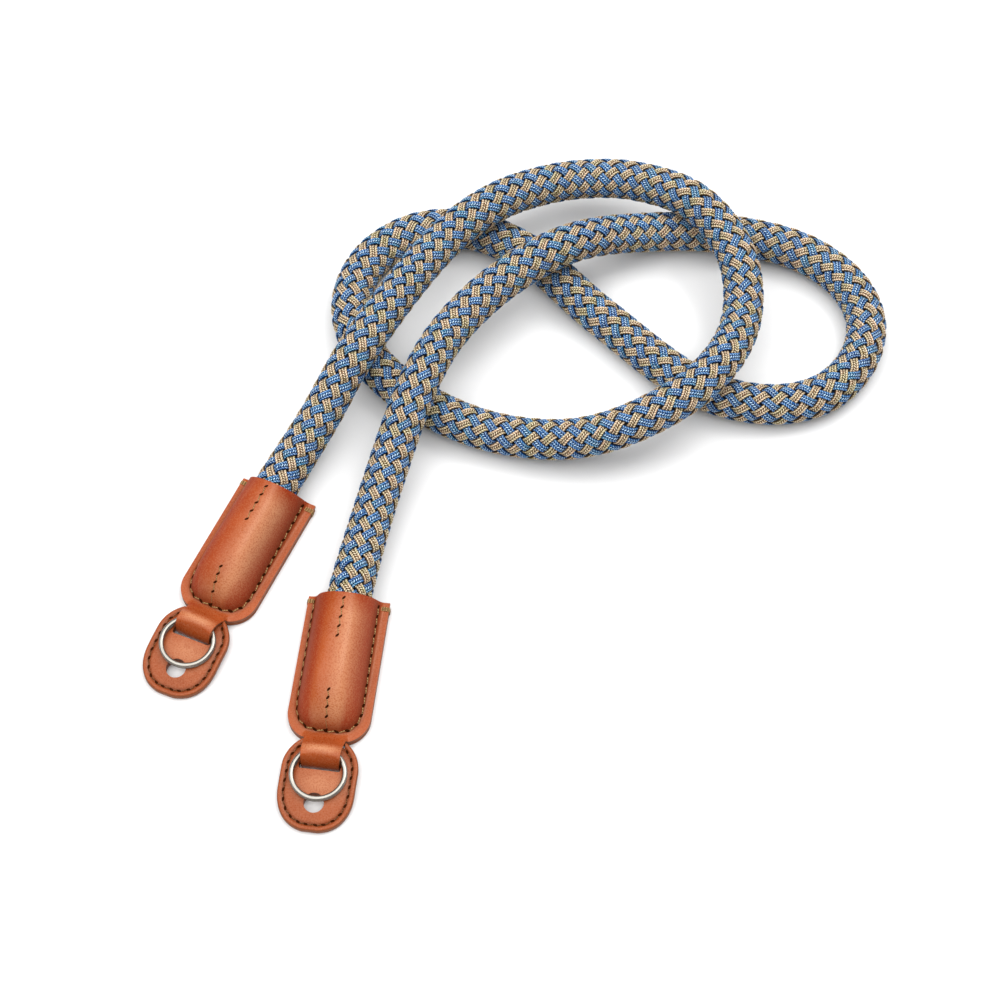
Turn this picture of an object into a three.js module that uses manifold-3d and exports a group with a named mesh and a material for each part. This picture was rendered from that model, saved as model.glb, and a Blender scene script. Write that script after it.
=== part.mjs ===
// Camera strap: a round braided rope lying in loose loops, with a sewn leather end on each tip.
// Millimetres. +Z is up and the strap lies on Z = 0. +X runs to the right, +Y away from the viewer.
// The origin is on the ground, midway between the two leather ends.
import * as THREE from "three";
import { mergeVertices } from "three/addons/utils/BufferGeometryUtils.js";
import Module from "manifold-3d";

const wasm = await Module();
wasm.setup();

// Rope
const ROPE_DIAMETER = 12;
const ROPE_SIDES = 12;
const ROPE_STEPS = 80;
const ROPE_CENTRE = 7.5; // height of the rope's centre inside a sleeve

// Sleeve: front and back leather, sewn together along the flange
const LEATHER = 1.1;
const SEWN_GAP = 0.3;
const SLEEVE_WIDTH = 22.8;
const SLEEVE_LENGTH = 43.5;
const SLEEVE_CORNER = 8;
const FLANGE_BOTTOM = LEATHER + SEWN_GAP;
const FLANGE_TOP = FLANGE_BOTTOM + LEATHER;
const DOME_HALF_WIDTH = 9;
const CROWN = ROPE_CENTRE + ROPE_DIAMETER / 2 + 0.5 + LEATHER;
const DOME_END = 40.8; // seam at the closed end, measured from the mouth
const LIP_SETBACK = 4; // the mouth leans back by this much at the crown

// Tab: the flange runs on as a strip that loops round the ring
const TAB_WIDTH = 11.2;

// Flap: a pad under the ring
const FLAP_HALF_WIDTH = 10.4;
const FLAP_END = 69.5;
const FLAP_THICKNESS = 1.9;
const FLAP_RAISE = LEATHER + SEWN_GAP;
const SLOT_WIDTH = 12;
const SLOT_START = 50.3;
const SLOT_END = 53.2;
const HOLE_DIAMETER = 5.8;
const HOLE_CENTRE = 61.6;

// Split ring: two flat turns of wire
const RING_OUTER = 15.5;
const RING_RADIAL = 1.2;
const RING_TURN = 0.88;
const RING_CENTRE = 53.7;
const RING_TILT = 2; // degrees, its near side rests lower on the flap
const RING_RAMP = 26; // degrees each side of the step from one turn to the other

// Where each end lies: the middle of its mouth, and how far it is turned clockwise, seen from above.
// A flap has some play on its tab, so it may lie turned against its sleeve.
const ENDS = [
  { name: "a", x: 1.9, y: 49.5, turn: 25.3, flapTurn: -3 },
  { name: "b", x: 22.9, y: 14.8, turn: 7.2, flapTurn: 0 },
];

// The rope's centre from inside sleeve a to inside sleeve b.
const ROPE_ROUTE = [
  { x: -7.5, y: 29.6, z: 7.7 },
  { x: 0.8, y: 47.0, z: 7.6 },
  { x: 13.1, y: 67.9, z: 12.6 },
  { x: 23.8, y: 87.1, z: 18.5 },
  { x: 48.4, y: 125.9, z: 18.9 },
  { x: 63.2, y: 139.5, z: 18.6 },
  { x: 75.8, y: 147.2, z: 16.1 },
  { x: 89.8, y: 151.8, z: 13.9 },
  { x: 104.8, y: 150.2, z: 15.3 },
  { x: 122.6, y: 139.3, z: 19.3 },
  { x: 134.0, y: 121.3, z: 18.5 },
  { x: 134.8, y: 99.3, z: 16.7 },
  { x: 124.8, y: 79.3, z: 18.6 },
  { x: 107.0, y: 66.5, z: 16.5 },
  { x: 86.2, y: 62.9, z: 9.9 },
  { x: 60.8, y: 67.7, z: 6.5 },
  { x: 37.2, y: 81.1, z: 6.1 },
  { x: 24.4, y: 96.7, z: 6.1 },
  { x: 20.8, y: 112.5, z: 6.1 },
  { x: 26.2, y: 127.7, z: 6.1 },
  { x: 38.8, y: 137.5, z: 6.1 },
  { x: 54.4, y: 138.9, z: 6.1 },
  { x: 71.2, y: 131.3, z: 6.1 },
  { x: 94.8, y: 107.1, z: 6.1 },
  { x: 123.2, y: 82.1, z: 6.1 },
  { x: 143.8, y: 76.7, z: 6.1 },
  { x: 159.0, y: 80.7, z: 6.1 },
  { x: 169.0, y: 91.3, z: 6.1 },
  { x: 172.6, y: 104.9, z: 6.1 },
  { x: 168.4, y: 118.3, z: 6.1 },
  { x: 155.4, y: 130.3, z: 6.1 },
  { x: 132.8, y: 136.9, z: 6.4 },
  { x: 108.8, y: 135.3, z: 9.6 },
  { x: 85.8, y: 125.1, z: 18.3 },
  { x: 66.8, y: 112.5, z: 18.7 },
  { x: 51.2, y: 95.9, z: 17.7 },
  { x: 42.2, y: 77.5, z: 18.7 },
  { x: 32.1, y: 48.7, z: 11.2 },
  { x: 22.8, y: 11.4, z: 7.6 },
  { x: 20.4, y: -6.7, z: 7.6 },
];

// The tab's middle line seen from the side, with the radius of each fold.
const TAB_FOLD = [
  { along: 41.0, height: FLANGE_BOTTOM + LEATHER / 2, radius: 0 },
  { along: 42.9, height: FLANGE_BOTTOM + LEATHER / 2, radius: 2.0 },
  { along: 45.2, height: 6.8, radius: 1.0 },
  { along: 51.4, height: 6.7, radius: 0.9 },
  { along: 51.8, height: LEATHER / 2, radius: 0.7 },
  { along: 44.0, height: LEATHER / 2, radius: 0 },
];

const DOME_STATIONS = [-2, 10, 22, 25.5, 28.5, 31, 33, 34.8, 36.4, 37.8, 38.9, 39.7, 40.3, 40.7];
const DOME_ARCH_STEPS = 16;
const FLAP_STATIONS = [
  45, 45.6, 46.4, 47.4, 48.6, 50.2, 52, 54, 56, 58, 60, 62, 63.6, 65, 66.2, 67.2, 68, 68.7, 69.2, 69.5,
];

const ropeLook = new THREE.MeshStandardMaterial({ color: 0x7f8797, roughness: 0.85, metalness: 0 });
const leatherLook = new THREE.MeshStandardMaterial({ color: 0xba6238, roughness: 0.5, metalness: 0 });
const backLook = new THREE.MeshStandardMaterial({ color: 0xa8704c, roughness: 0.65, metalness: 0 });
const flapLook = new THREE.MeshStandardMaterial({ color: 0xb8643c, roughness: 0.5, metalness: 0 });
const ringLook = new THREE.MeshStandardMaterial({ color: 0xc9c9c6, roughness: 0.25, metalness: 1 });

function solidFrom(geometry) {
  const bare = geometry.clone();
  bare.deleteAttribute("normal");
  bare.deleteAttribute("uv");
  const merged = mergeVertices(bare, 1e-4);
  const mesh = new wasm.Mesh({
    numProp: 3,
    vertProperties: new Float32Array(merged.attributes.position.array),
    triVerts: new Uint32Array(merged.index.array),
  });
  return new wasm.Manifold(mesh);
}

function geometryFrom(solid) {
  const mesh = solid.getMesh();
  const geometry = new THREE.BufferGeometry();
  geometry.setAttribute("position", new THREE.BufferAttribute(mesh.vertProperties, 3));
  geometry.setIndex(new THREE.BufferAttribute(mesh.triVerts, 1));
  geometry.computeVertexNormals();
  return geometry;
}

// A closed body through rings that all hold the same number of points, capped at both ends.
function loft(rings) {
  const count = rings[0].length;
  const points = rings.flat();
  const faces = [];
  for (let r = 0; r < rings.length - 1; r += 1) {
    for (let i = 0; i < count; i += 1) {
      const next = (i + 1) % count;
      const near = r * count;
      const far = near + count;
      faces.push(near + i, far + next, near + next);
      faces.push(near + i, far + i, far + next);
    }
  }
  const last = (rings.length - 1) * count;
  for (let i = 1; i < count - 1; i += 1) {
    faces.push(0, i, i + 1);
    faces.push(last, last + i + 1, last + i);
  }
  const geometry = new THREE.BufferGeometry().setFromPoints(points);
  geometry.setIndex(faces);
  return geometry;
}

// Each end is made with its mouth on y = 0 and its tab towards -y, then turned into place.

function sleeveOutline() {
  const half = SLEEVE_WIDTH / 2;
  const straight = SLEEVE_LENGTH - SLEEVE_CORNER;
  const outline = new THREE.Shape();
  outline.moveTo(half, 0);
  outline.lineTo(-half, 0);
  outline.lineTo(-half, -straight);
  outline.absarc(-half + SLEEVE_CORNER, -straight, SLEEVE_CORNER, Math.PI, 1.5 * Math.PI, false);
  outline.absarc(half - SLEEVE_CORNER, -straight, SLEEVE_CORNER, 1.5 * Math.PI, 2 * Math.PI, false);
  outline.closePath();
  return outline;
}

function sleevePlate(bottom) {
  const plate = new THREE.ExtrudeGeometry(sleeveOutline(), {
    depth: LEATHER,
    bevelEnabled: false,
    curveSegments: 9,
  });
  plate.translate(0, 0, bottom);
  return solidFrom(plate);
}

// The moulded dome keeps its full section along the rope, then rounds down to the seam.
function domeHalfWidth(along) {
  const part = Math.max(0, (along - 30) / (DOME_END - 30));
  return DOME_HALF_WIDTH * Math.pow(1 - Math.pow(part, 3.2), 1 / 3.2);
}

function domeRise(along) {
  const part = Math.max(0, (along - 24) / (DOME_END - 24));
  return (CROWN - FLANGE_TOP) * Math.pow(1 - Math.pow(part, 2.3), 0.6);
}

function domeRing(along, half, rise, foot) {
  const ring = [new THREE.Vector3(-half, -along, foot)];
  for (let i = 0; i <= DOME_ARCH_STEPS; i += 1) {
    const angle = (Math.PI * i) / DOME_ARCH_STEPS;
    const across = Math.sign(Math.cos(angle)) * Math.pow(Math.abs(Math.cos(angle)), 0.85);
    const up = Math.pow(Math.abs(Math.sin(angle)), 0.85);
    ring.push(new THREE.Vector3(-half * across, -along, FLANGE_TOP + rise * up));
  }
  ring.push(new THREE.Vector3(half, -along, foot));
  return ring;
}

function domeOutside() {
  const rings = DOME_STATIONS.map((along) => {
    return domeRing(along, domeHalfWidth(along), domeRise(along), FLANGE_BOTTOM + 0.4);
  });
  return solidFrom(loft(rings));
}

function domeInside() {
  const rings = DOME_STATIONS.slice(0, -3).map((along) => {
    const outer = along + LEATHER;
    const half = domeHalfWidth(outer) - LEATHER;
    return domeRing(along, half, domeRise(outer) - LEATHER, FLANGE_BOTTOM - 1);
  });
  return solidFrom(loft(rings));
}

// The space in front of the leaning mouth.
function mouthSpace() {
  const lean = Math.atan(LIP_SETBACK / (CROWN - FLANGE_TOP));
  const space = new THREE.BoxGeometry(40, 40, 60);
  space.translate(0, 20, 0);
  space.rotateX(lean);
  space.translate(0, 0, FLANGE_TOP);
  return solidFrom(space);
}

// Rounds each corner of a middle line to its own fold radius.
function foldedLine(rows) {
  const corners = rows.map((row) => new THREE.Vector2(row.along, row.height));
  const line = [corners[0]];
  for (let i = 1; i < rows.length - 1; i += 1) {
    const before = corners[i - 1].clone().sub(corners[i]).normalize();
    const after = corners[i + 1].clone().sub(corners[i]).normalize();
    const opening = Math.acos(before.dot(after));
    const reach = rows[i].radius / Math.tan(opening / 2);
    const middle = before.clone().add(after).normalize();
    const centre = corners[i].clone().addScaledVector(middle, rows[i].radius / Math.sin(opening / 2));
    const start = corners[i].clone().addScaledVector(before, reach).sub(centre);
    const sweep = Math.sign(before.cross(after)) * -(Math.PI - opening);
    const steps = Math.max(3, Math.ceil(Math.abs(sweep) / 0.26));
    for (let k = 0; k <= steps; k += 1) {
      line.push(start.clone().rotateAround(new THREE.Vector2(), (sweep * k) / steps).add(centre));
    }
  }
  line.push(corners[corners.length - 1]);
  return line;
}

function tabStrip() {
  const line = foldedLine(TAB_FOLD);
  const left = [];
  const right = [];
  line.forEach((point, i) => {
    const from = line[Math.max(0, i - 1)];
    const to = line[Math.min(line.length - 1, i + 1)];
    const run = to.clone().sub(from).normalize();
    const side = new THREE.Vector2(-run.y, run.x).multiplyScalar(LEATHER / 2);
    left.push(point.clone().add(side));
    right.push(point.clone().sub(side));
  });
  const profile = new THREE.Shape([...right, ...left.reverse()]);
  const strip = new THREE.ExtrudeGeometry(profile, { depth: TAB_WIDTH, bevelEnabled: false });
  const turned = new THREE.Matrix4().makeBasis(
    new THREE.Vector3(0, -1, 0),
    new THREE.Vector3(0, 0, 1),
    new THREE.Vector3(-1, 0, 0),
  );
  strip.applyMatrix4(turned);
  strip.translate(TAB_WIDTH / 2, 0, 0);
  return solidFrom(strip);
}

function sleeveFront() {
  const shell = sleevePlate(FLANGE_BOTTOM).add(domeOutside());
  const hollow = shell.subtract(domeInside()).subtract(mouthSpace());
  return geometryFrom(hollow.add(tabStrip()));
}

// Round where it meets the sleeve, squarer at its free end.
function flapHalfWidth(along) {
  if (along < 52) {
    return Math.sqrt(FLAP_HALF_WIDTH * FLAP_HALF_WIDTH - (52 - along) * (52 - along));
  }
  const part = Math.min(0.995, Math.max(0, (along - 60) / (FLAP_END - 60)));
  return FLAP_HALF_WIDTH * Math.pow(1 - Math.pow(part, 2.8), 1 / 2.8);
}

// Lies on the tab's return, and bends down to the ground at its free end.
function flapBottom(along) {
  const part = THREE.MathUtils.clamp((FLAP_END - along) / 15.5, 0, 1);
  return 0.05 + (FLAP_RAISE - 0.05) * part * part * (3 - 2 * part);
}

function flapPad() {
  const rings = FLAP_STATIONS.map((along) => {
    const half = flapHalfWidth(along);
    const bottom = flapBottom(along);
    const top = bottom + FLAP_THICKNESS;
    return [
      new THREE.Vector3(-half, -along, bottom),
      new THREE.Vector3(-half, -along, top),
      new THREE.Vector3(half, -along, top),
      new THREE.Vector3(half, -along, bottom),
    ];
  });
  const slot = new THREE.BoxGeometry(SLOT_WIDTH, SLOT_END - SLOT_START, 12);
  slot.translate(0, -(SLOT_START + SLOT_END) / 2, 2);
  const hole = new THREE.CylinderGeometry(HOLE_DIAMETER / 2, HOLE_DIAMETER / 2, 12, 24);
  hole.rotateX(Math.PI / 2);
  hole.translate(0, -HOLE_CENTRE, 2);
  const pad = solidFrom(loft(rings)).subtract(solidFrom(slot)).subtract(solidFrom(hole));
  return geometryFrom(pad);
}

// One wire in two flat turns. It steps from the lower turn to the upper one under the tab.
class SplitWire extends THREE.Curve {
  getPoint(t, target = new THREE.Vector3()) {
    const first = RING_RAMP + 6;
    const whole = 720 - 2 * first;
    const turn = first + whole * t;
    const climb = THREE.MathUtils.smoothstep(turn, 360 - RING_RAMP, 360 + RING_RAMP);
    const angle = THREE.MathUtils.degToRad(90 + turn);
    const radius = (RING_OUTER - RING_RADIAL) / 2;
    const height = (RING_TURN + 0.08) * climb;
    return target.set(radius * Math.cos(angle), radius * Math.sin(angle), height);
  }
}

function splitRing() {
  const tall = RING_TURN / 2;
  const wide = RING_RADIAL / 2;
  const section = new THREE.Shape([
    new THREE.Vector2(-tall, -wide * 0.6),
    new THREE.Vector2(-tall * 0.5, -wide),
    new THREE.Vector2(tall * 0.5, -wide),
    new THREE.Vector2(tall, -wide * 0.6),
    new THREE.Vector2(tall, wide * 0.6),
    new THREE.Vector2(tall * 0.5, wide),
    new THREE.Vector2(-tall * 0.5, wide),
    new THREE.Vector2(-tall, wide * 0.6),
  ]);
  const wire = new THREE.ExtrudeGeometry(section, {
    steps: 72,
    bevelEnabled: false,
    extrudePath: new SplitWire(),
  });
  wire.rotateX(THREE.MathUtils.degToRad(RING_TILT));
  const flapTop = FLAP_RAISE + FLAP_THICKNESS;
  wire.translate(0, -RING_CENTRE, flapTop + SEWN_GAP + RING_TURN / 2);
  return wire;
}

function rope() {
  const route = ROPE_ROUTE.map((point) => new THREE.Vector3(point.x, point.y, point.z));
  const section = new THREE.Shape();
  for (let i = 0; i < ROPE_SIDES; i += 1) {
    const angle = (2 * Math.PI * i) / ROPE_SIDES;
    const x = (ROPE_DIAMETER / 2) * Math.cos(angle);
    const y = (ROPE_DIAMETER / 2) * Math.sin(angle);
    if (i === 0) {
      section.moveTo(x, y);
    } else {
      section.lineTo(x, y);
    }
  }
  section.closePath();
  return new THREE.ExtrudeGeometry(section, {
    steps: ROPE_STEPS,
    bevelEnabled: false,
    extrudePath: new THREE.CatmullRomCurve3(route),
  });
}

function named(name, geometry, material) {
  const mesh = new THREE.Mesh(geometry, material);
  mesh.name = name;
  return mesh;
}

const strap = new THREE.Group();
strap.name = "camera_strap";
strap.add(named("rope", rope(), ropeLook));
for (const end of ENDS) {
  const fitting = new THREE.Group();
  fitting.add(named(`sleeve_front_${end.name}`, sleeveFront(), leatherLook.clone()));
  fitting.add(named(`sleeve_back_${end.name}`, geometryFrom(sleevePlate(0)), backLook.clone()));
  const flap = named(`flap_${end.name}`, flapPad(), flapLook.clone());
  const slotMiddle = -(SLOT_START + SLOT_END) / 2;
  flap.geometry.translate(0, -slotMiddle, 0);
  flap.rotation.z = -THREE.MathUtils.degToRad(end.flapTurn);
  flap.position.set(0, slotMiddle, 0);
  fitting.add(flap);
  fitting.add(named(`split_ring_${end.name}`, splitRing(), ringLook.clone()));
  fitting.rotation.z = -THREE.MathUtils.degToRad(end.turn);
  fitting.position.set(end.x, end.y, 0);
  strap.add(fitting);
}

export default strap;
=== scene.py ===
import math

import bpy
import numpy as np
from mathutils import Matrix, Vector


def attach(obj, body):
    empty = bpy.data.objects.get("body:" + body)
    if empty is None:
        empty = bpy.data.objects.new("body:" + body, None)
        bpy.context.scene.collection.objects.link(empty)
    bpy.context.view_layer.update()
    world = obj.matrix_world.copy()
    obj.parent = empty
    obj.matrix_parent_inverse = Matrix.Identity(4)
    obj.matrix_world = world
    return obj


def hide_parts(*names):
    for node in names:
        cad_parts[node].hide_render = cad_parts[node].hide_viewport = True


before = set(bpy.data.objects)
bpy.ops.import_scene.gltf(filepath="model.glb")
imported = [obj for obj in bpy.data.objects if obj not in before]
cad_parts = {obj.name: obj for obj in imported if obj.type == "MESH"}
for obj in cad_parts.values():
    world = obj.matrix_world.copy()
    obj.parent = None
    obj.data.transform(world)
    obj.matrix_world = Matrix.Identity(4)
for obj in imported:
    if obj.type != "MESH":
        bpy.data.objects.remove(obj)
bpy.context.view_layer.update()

# Camera, ground and light. The strap lies on a plain white ground and is seen from in front, 60 degrees up.
# A broad soft box hangs overhead, and a small one stands behind to the right for the leather's shine.
bpy.ops.object.select_all(action="DESELECT")
camera_place = Vector((0.0648, -0.3232, 0.6435))
camera_aim = Vector((0.0648, 0.0483, 0.0))
bpy.ops.object.camera_add(
    location=camera_place,
    rotation=(camera_aim - camera_place).to_track_quat("-Z", "Y").to_euler(),
)
camera = bpy.context.object
camera.data.lens = 93.6
camera.data.sensor_width = 36
camera.data.clip_start = 0.01
bpy.context.scene.camera = camera
bpy.context.scene.view_settings.view_transform = "Standard"

ground_size = 8
ground_drop = 0.0001
bpy.ops.mesh.primitive_plane_add(size=ground_size, location=(0, 0, -ground_drop))
ground = bpy.context.object
ground.name = "ground"
ground_paint = bpy.data.materials.new("pale_ground")
ground_paint.use_nodes = True
ground_shader = ground_paint.node_tree.nodes["Principled BSDF"]
ground_shader.inputs["Base Color"].default_value = (0.80, 0.80, 0.80, 1)
ground_shader.inputs["Roughness"].default_value = 0.9
ground_shader.inputs["Specular IOR Level"].default_value = 0.1
ground.data.materials.append(ground_paint)

room = bpy.data.worlds.new("room")
room.use_nodes = True
room_light = room.node_tree.nodes["Background"]
room_light.inputs["Color"].default_value = (1.0, 1.0, 1.0, 1)
room_light.inputs["Strength"].default_value = 0.2
bpy.context.scene.world = room

light_aim = Vector((0.06, 0.05, 0.0))
light_boxes = [
    {"name": "overhead_box", "place": (-0.20, -0.06, 1.4), "side": 2.2, "watts": 42.0},
    {"name": "right_box", "place": (0.74, 0.49, 1.14), "side": 0.70, "watts": 9.0},
]
for box in light_boxes:
    place = Vector(box["place"])
    facing = (light_aim - place).to_track_quat("-Z", "Y").to_euler()
    bpy.ops.object.light_add(type="AREA", location=place, rotation=facing)
    bpy.context.object.name = box["name"]
    bpy.context.object.data.size = box["side"]
    bpy.context.object.data.energy = box["watts"]

# Rope: a soft core under a plain braid of sixteen strands of synthetic yarn, eight blue ones that turn to the
# right and eight beige ones to the left, each over one strand and under the next.
# It lies in loose loops, and both of its ends are sewn into the leather.
rope_route = [
    (-0.0075, 0.0296, 0.0077), (0.0008, 0.0470, 0.0076), (0.0131, 0.0679, 0.0126), (0.0238, 0.0871, 0.0185),
    (0.0484, 0.1259, 0.0189), (0.0632, 0.1395, 0.0186), (0.0758, 0.1472, 0.0161), (0.0898, 0.1518, 0.0139),
    (0.1048, 0.1502, 0.0153), (0.1226, 0.1393, 0.0193), (0.1340, 0.1213, 0.0185), (0.1348, 0.0993, 0.0167),
    (0.1248, 0.0793, 0.0186), (0.1070, 0.0665, 0.0165), (0.0862, 0.0629, 0.0099), (0.0608, 0.0677, 0.0065),
    (0.0372, 0.0811, 0.0061), (0.0244, 0.0967, 0.0061), (0.0208, 0.1125, 0.0061), (0.0262, 0.1277, 0.0061),
    (0.0388, 0.1375, 0.0061), (0.0544, 0.1389, 0.0061), (0.0712, 0.1313, 0.0061), (0.0948, 0.1071, 0.0061),
    (0.1232, 0.0821, 0.0061), (0.1438, 0.0767, 0.0061), (0.1590, 0.0807, 0.0061), (0.1690, 0.0913, 0.0061),
    (0.1726, 0.1049, 0.0061), (0.1684, 0.1183, 0.0061), (0.1554, 0.1303, 0.0061), (0.1328, 0.1369, 0.0064),
    (0.1088, 0.1353, 0.0096), (0.0858, 0.1251, 0.0183), (0.0668, 0.1125, 0.0187), (0.0512, 0.0959, 0.0177),
    (0.0422, 0.0775, 0.0187), (0.0321, 0.0487, 0.0112), (0.0228, 0.0114, 0.0076), (0.0204, -0.0067, 0.0076),
]


def unit(vectors):
    return vectors / np.linalg.norm(vectors, axis=-1, keepdims=True)


def smoothed(part):
    """An ease from 0 to 1 that starts and ends level."""
    return part**2 * (3 - 2 * part)


def run_length(line):
    """How far along a line of points each one is."""
    return np.concatenate([[0], np.cumsum(np.linalg.norm(np.diff(line, axis=0), axis=1))])


def evenly(line, count):
    """That many points, at even steps along a line."""
    far = run_length(line)
    even = np.linspace(0, far[-1], count)
    return np.stack([np.interp(even, far, line[:, k]) for k in range(line.shape[1])], 1)


def rope_line(spacing):
    """Points at an even spacing on one smooth curve through the route, and how far along it they are."""
    knots = np.array(rope_route)
    knots = np.vstack([2 * knots[0] - knots[1], knots, 2 * knots[-1] - knots[-2]])
    reach = np.sqrt(np.linalg.norm(np.diff(knots, axis=0), axis=1))
    part = np.linspace(0, 1, 80, endpoint=False)[:, None]
    runs = []
    for i in range(1, len(knots) - 2):
        before, start, end, after = knots[i - 1 : i + 3]
        r0, r1, r2 = reach[i - 1 : i + 2]
        leave = ((start - before) / r0 - (end - before) / (r0 + r1) + (end - start) / r1) * r1
        arrive = ((end - start) / r1 - (after - start) / (r1 + r2) + (after - end) / r2) * r1
        square = -3 * start + 3 * end - 2 * leave - arrive
        cube = 2 * start - 2 * end + leave + arrive
        runs.append(start + leave * part + square * part**2 + cube * part**3)
    line = np.vstack(runs + [knots[-2][None]])
    length = run_length(line)[-1]
    count = int(round(length / spacing)) + 1
    return np.linspace(0, length, count), evenly(line, count)


def new_material(name):
    material = bpy.data.materials.new(name)
    material.use_nodes = True
    return material, material.node_tree, material.node_tree.nodes["Principled BSDF"]


def add_node(tree, kind, values=None, **settings):
    """A shader node with some of its sockets set, to a value or from another node's socket."""
    made = tree.nodes.new(kind)
    for name, value in settings.items():
        setattr(made, name, value)
    for name, value in (values or {}).items():
        if isinstance(value, bpy.types.NodeSocket):
            tree.links.new(value, made.inputs[name])
        else:
            made.inputs[name].default_value = value
    return made


def sums(tree, operation, first, second=0.0, third=0.0):
    made = add_node(tree, "ShaderNodeMath", {0: first, 1: second, 2: third}, operation=operation)
    return made.outputs[0]


def eased(tree, value, low, high):
    """0 below low, 1 above high, smooth between."""
    span = {"Value": value, "From Min": low, "From Max": high}
    return add_node(tree, "ShaderNodeMapRange", span, interpolation_type="SMOOTHSTEP").outputs["Result"]


def between(tree, value, low, high):
    """Low where the value is 0, high where it is 1."""
    span = {"Value": value, "To Min": low, "To Max": high}
    return add_node(tree, "ShaderNodeMapRange", span).outputs["Result"]


def mixed(tree, share, first, second):
    made = add_node(tree, "ShaderNodeMix", {0: share, 6: first, 7: second}, data_type="RGBA")
    return made.outputs[2]


def object_place(tree):
    return add_node(tree, "ShaderNodeTexCoord").outputs["Object"]


def noise(tree, place, scale, detail=2.0, roughness=0.5):
    values = {"Vector": place, "Scale": scale, "Detail": detail, "Roughness": roughness}
    return add_node(tree, "ShaderNodeTexNoise", values).outputs["Fac"]


def shade(tree, name):
    """A value that the mesh carries at each of its points."""
    return add_node(tree, "ShaderNodeAttribute", attribute_name=name).outputs["Fac"]


def raise_surface(tree, shader, height, strength, distance):
    values = {"Height": height, "Strength": strength, "Distance": distance}
    tree.links.new(add_node(tree, "ShaderNodeBump", values).outputs["Normal"], shader.inputs["Normal"])


# Rope core: the rope's soft filling, yarn laid lengthwise inside the braid.
# It is only seen deep between the strands, and its near-black colour is painted shade for those gaps.
core_radius = 0.0044
core_spacing = 0.0025
rope_along, rope_points = rope_line(core_spacing)
core_curve = bpy.data.curves.new("rope_core", "CURVE")
core_curve.dimensions = "3D"
core_curve.bevel_depth = core_radius
core_curve.bevel_resolution = 4
core_curve.use_fill_caps = True
core_spline = core_curve.splines.new("POLY")
core_spline.points.add(len(rope_points) - 1)
core_spline.points.foreach_set("co", np.hstack([rope_points, np.ones((len(rope_points), 1))]).ravel())
rope_core = bpy.data.objects.new("rope_core", core_curve)
bpy.context.scene.collection.objects.link(rope_core)
core_yarn, tree, shader = new_material("dark_core_yarn")
fleck = noise(tree, object_place(tree), 900.0, 3.0)
# Near black: painted shade for the gaps between strands.
core_colour = mixed(tree, fleck, (0.006, 0.008, 0.014, 1), (0.035, 0.034, 0.036, 1))
tree.links.new(core_colour, shader.inputs["Base Color"])
shader.inputs["Roughness"].default_value = 0.9
core_curve.materials.append(core_yarn)

# Strands: flat strands of three twisted yarns, braided round the core by machine, eight of each colour.
# Both kinds have the same round of floats, half a round apart.
strand_lay = 0.040
strands_each_way = 8
float_length = strand_lay / (2 * strands_each_way)
float_squareness = 1.7
strand_mid_radius = 0.00502
strand_lift = 0.00045
strand_fill = 1.16
float_narrowing = 0.10
drift_knots, drift_spread = 180, 0.00007
swell_knots, swell_spread = 240, 0.03
rope_in_sleeve = 0.020
rope_flare = 0.00034
flare_reach = 0.016
flare_widening = 0.7
yarn_width = 0.73
twist_length = 0.66
twist_slant = 5.5
strand_section = np.array([
    (-1.10, -0.26), (-1.07, 0.16), (-0.94, 0.38), (-0.71, 0.45), (-0.37, 0.20), (-0.19, 0.47), (0.19, 0.47),
    (0.37, 0.20), (0.71, 0.45), (0.94, 0.38), (1.07, 0.16), (1.10, -0.26), (0.58, -0.42), (-0.58, -0.42),
]) * 0.001
strand_step = float_length / 5
rope_along, rope_points = rope_line(strand_step)
rope_run = unit(np.gradient(rope_points, axis=0))
rope_side = np.zeros_like(rope_run)
rope_side[0] = unit(np.cross(rope_run[0], (0, 0, 1)))
for i in range(1, len(rope_run)):
    carried = rope_side[i - 1] - rope_run[i] * np.dot(rope_side[i - 1], rope_run[i])
    rope_side[i] = carried / np.linalg.norm(carried)
rope_up = np.cross(rope_side, rope_run)


def mesh_piece(name, corners, faces, material, map_name=None, places=None):
    """A smooth mesh from arrays as an object, with a map of places if it has one."""
    mesh = bpy.data.meshes.new(name)
    mesh.from_pydata(corners, [], faces)
    if map_name:
        layer = mesh.uv_layers.new(name=map_name)
        layer.data.foreach_set("uv", places[faces.ravel()].ravel().astype(np.float32))
    mesh.shade_smooth()
    mesh.materials.append(material)
    piece = bpy.data.objects.new(name, mesh)
    bpy.context.scene.collection.objects.link(piece)
    return piece


def carry(mesh, name, values):
    """Gives each point of the mesh a value that its material can read."""
    values = np.asarray(values, np.float32)
    mesh.attributes.new(name, "FLOAT", "POINT").data.foreach_set("value", values)


def wander(chance, knots, spread):
    """A value along the rope that drifts at random."""
    places = np.linspace(0, rope_along[-1], knots)
    return np.interp(rope_along, places, chance.normal(0, spread, knots))


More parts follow.
